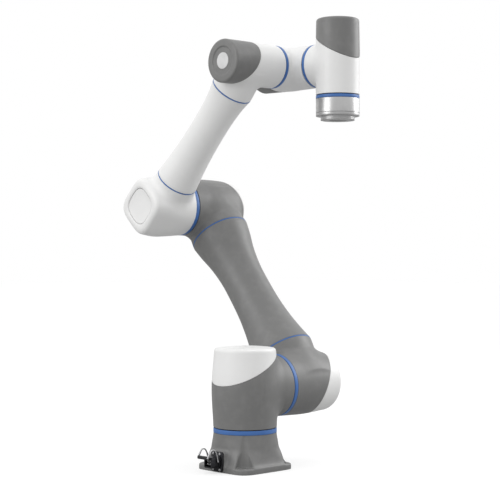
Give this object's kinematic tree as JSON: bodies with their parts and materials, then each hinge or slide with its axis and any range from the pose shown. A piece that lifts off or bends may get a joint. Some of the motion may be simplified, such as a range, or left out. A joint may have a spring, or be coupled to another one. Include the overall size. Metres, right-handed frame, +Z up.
{
  "type": "collaborative robot arm",
  "caption": "Collaborative robot arm on a square base flange, with round joint hubs, oblique end caps, waisted link tubes and a round tool flange.",
  "frame": {"origin": "centre of the base's underside, on the base turning axis", "axes": "+Z up along the base turning axis, +Y along the shoulder and elbow turning axes, +X to the side that the forearm reaches to"},
  "size_m": [0.4614, 0.3134, 0.827],
  "materials": {
    "grey_paint": "fine satin grey paint on cast aluminium",
    "white_paint": "satin white paint on cast aluminium and moulded caps",
    "blue_seal": "satin blue ring",
    "bare_aluminium": "turned bare aluminium",
    "dark_steel": "blackened steel",
    "gear_steel": "ground gear steel",
    "copper_winding": "varnished copper windings in a laminated core",
    "circuit_board": "green solder mask",
    "black_plastic": "satin black"
  },
  "bodies": {
    "base": {"base_casting": "grey_paint", "base_seal_ring": "blue_seal", "connector_housing": "dark_steel", "base_joint_output_flange": "dark_steel"},
    "connector_lever": {"connector_lever": "black_plastic"},
    "shoulder": {"shoulder_housing": "grey_paint", "shoulder_cap": "white_paint", "base_joint_circular_spline": "gear_steel", "base_joint_motor_stator": "copper_winding", "base_joint_drive_board": "circuit_board", "shoulder_joint_output_flange": "dark_steel"},
    "upper_arm": {"shoulder_seal_ring": "blue_seal", "upper_arm_shoulder_housing": "grey_paint", "upper_arm_shoulder_cap": "white_paint", "upper_arm_lower_band": "blue_seal", "upper_arm_tube": "grey_paint", "upper_arm_upper_band": "blue_seal", "upper_arm_elbow_housing": "grey_paint", "upper_arm_elbow_cap": "white_paint", "shoulder_joint_circular_spline": "gear_steel", "shoulder_joint_motor_stator": "copper_winding", "shoulder_joint_drive_board": "circuit_board", "elbow_joint_circular_spline": "gear_steel", "elbow_joint_motor_stator": "copper_winding", "elbow_joint_drive_board": "circuit_board"},
    "forearm": {"elbow_seal_ring": "blue_seal", "forearm_elbow_housing": "white_paint", "forearm_elbow_cover": "white_paint", "forearm_lower_band": "blue_seal", "forearm_tube": "white_paint", "forearm_upper_band": "blue_seal", "forearm_wrist_housing": "white_paint", "forearm_wrist_cap": "grey_paint", "elbow_joint_output_flange": "dark_steel", "wrist_1_joint_circular_spline": "gear_steel", "wrist_1_joint_motor_stator": "copper_winding", "wrist_1_joint_drive_board": "circuit_board"},
    "wrist_1": {"wrist_1_seal_ring": "blue_seal", "wrist_1_housing": "white_paint", "wrist_1_cap": "grey_paint", "wrist_1_joint_output_flange": "dark_steel", "wrist_2_joint_circular_spline": "gear_steel", "wrist_2_joint_motor_stator": "copper_winding", "wrist_2_joint_drive_board": "circuit_board"},
    "wrist_2": {"wrist_2_seal_ring": "blue_seal", "wrist_2_housing": "white_paint", "wrist_2_cap": "grey_paint", "wrist_2_joint_output_flange": "dark_steel", "wrist_3_joint_circular_spline": "gear_steel", "wrist_3_joint_motor_stator": "copper_winding", "wrist_3_joint_drive_board": "circuit_board"},
    "tool": {"wrist_3_seal_ring": "blue_seal", "tool_flange": "bare_aluminium", "wrist_3_joint_output_flange": "dark_steel"},
    "base_joint_rotor": {"base_joint_rotor": "gear_steel"},
    "shoulder_joint_rotor": {"shoulder_joint_rotor": "gear_steel"},
    "elbow_joint_rotor": {"elbow_joint_rotor": "gear_steel"},
    "wrist_1_joint_rotor": {"wrist_1_joint_rotor": "gear_steel"},
    "wrist_2_joint_rotor": {"wrist_2_joint_rotor": "gear_steel"},
    "wrist_3_joint_rotor": {"wrist_3_joint_rotor": "gear_steel"}
  },
  "joints": [
    {"name": "base_turn", "type": "hinge", "parent": "base", "child": "shoulder", "pos_m": [0, 0, 0.0757], "axis": [0, 0, 1], "range_deg": [-360, 360]},
    {"name": "shoulder_turn", "type": "hinge", "parent": "shoulder", "child": "upper_arm", "pos_m": [0, 0.0718, 0.147], "axis": [0, 1, 0], "range_deg": [-322.1, 397.9]},
    {"name": "elbow_turn", "type": "hinge", "parent": "upper_arm", "child": "forearm", "pos_m": [-0.2623, 0.075, 0.48394], "axis": [0, 1, 0], "range_deg": [-238, 62]},
    {"name": "wrist_1_turn", "type": "hinge", "parent": "forearm", "child": "wrist_1", "pos_m": [-0.01611, 0.0835, 0.74247], "axis": [0, 1, 0], "range_deg": [-360, 360]},
    {"name": "wrist_2_turn", "type": "hinge", "parent": "wrist_1", "child": "wrist_2", "pos_m": [0.04539, 0.141, 0.74247], "axis": [1, 0, 0], "range_deg": [-360, 360]},
    {"name": "wrist_3_turn", "type": "hinge", "parent": "wrist_2", "child": "tool", "pos_m": [0.09989, 0.141, 0.68417], "axis": [0, 0, -1], "range_deg": [-360, 360]},
    {"name": "connector_lever_turn", "type": "hinge", "parent": "base", "child": "connector_lever", "pos_m": [0, -0.079, 0.0215], "axis": [-1, 0, 0], "range_deg": [0, 42]},
    {"name": "base_joint_rotor_turn", "type": "hinge", "parent": "shoulder", "child": "base_joint_rotor", "pos_m": [0, 0, 0.0757], "axis": [0, 0, 1], "continuous": true},
    {"name": "shoulder_joint_rotor_turn", "type": "hinge", "parent": "upper_arm", "child": "shoulder_joint_rotor", "pos_m": [0, 0.0718, 0.147], "axis": [0, 1, 0], "continuous": true},
    {"name": "elbow_joint_rotor_turn", "type": "hinge", "parent": "upper_arm", "child": "elbow_joint_rotor", "pos_m": [-0.2623, 0.075, 0.48394], "axis": [0, 1, 0], "continuous": true},
    {"name": "wrist_1_joint_rotor_turn", "type": "hinge", "parent": "forearm", "child": "wrist_1_joint_rotor", "pos_m": [-0.01611, 0.0835, 0.74247], "axis": [0, 1, 0], "continuous": true},
    {"name": "wrist_2_joint_rotor_turn", "type": "hinge", "parent": "wrist_1", "child": "wrist_2_joint_rotor", "pos_m": [0.04539, 0.141, 0.74247], "axis": [1, 0, 0], "continuous": true},
    {"name": "wrist_3_joint_rotor_turn", "type": "hinge", "parent": "wrist_2", "child": "wrist_3_joint_rotor", "pos_m": [0.09989, 0.141, 0.68417], "axis": [0, 0, -1], "continuous": true}
  ],
  "couplings": [
    {"joint": "base_joint_rotor_turn", "follows": "base_turn", "ratio": 100},
    {"joint": "shoulder_joint_rotor_turn", "follows": "shoulder_turn", "ratio": 100},
    {"joint": "elbow_joint_rotor_turn", "follows": "elbow_turn", "ratio": -100},
    {"joint": "wrist_1_joint_rotor_turn", "follows": "wrist_1_turn", "ratio": -100},
    {"joint": "wrist_2_joint_rotor_turn", "follows": "wrist_2_turn", "ratio": -100},
    {"joint": "wrist_3_joint_rotor_turn", "follows": "wrist_3_turn", "ratio": -100}
  ]
}
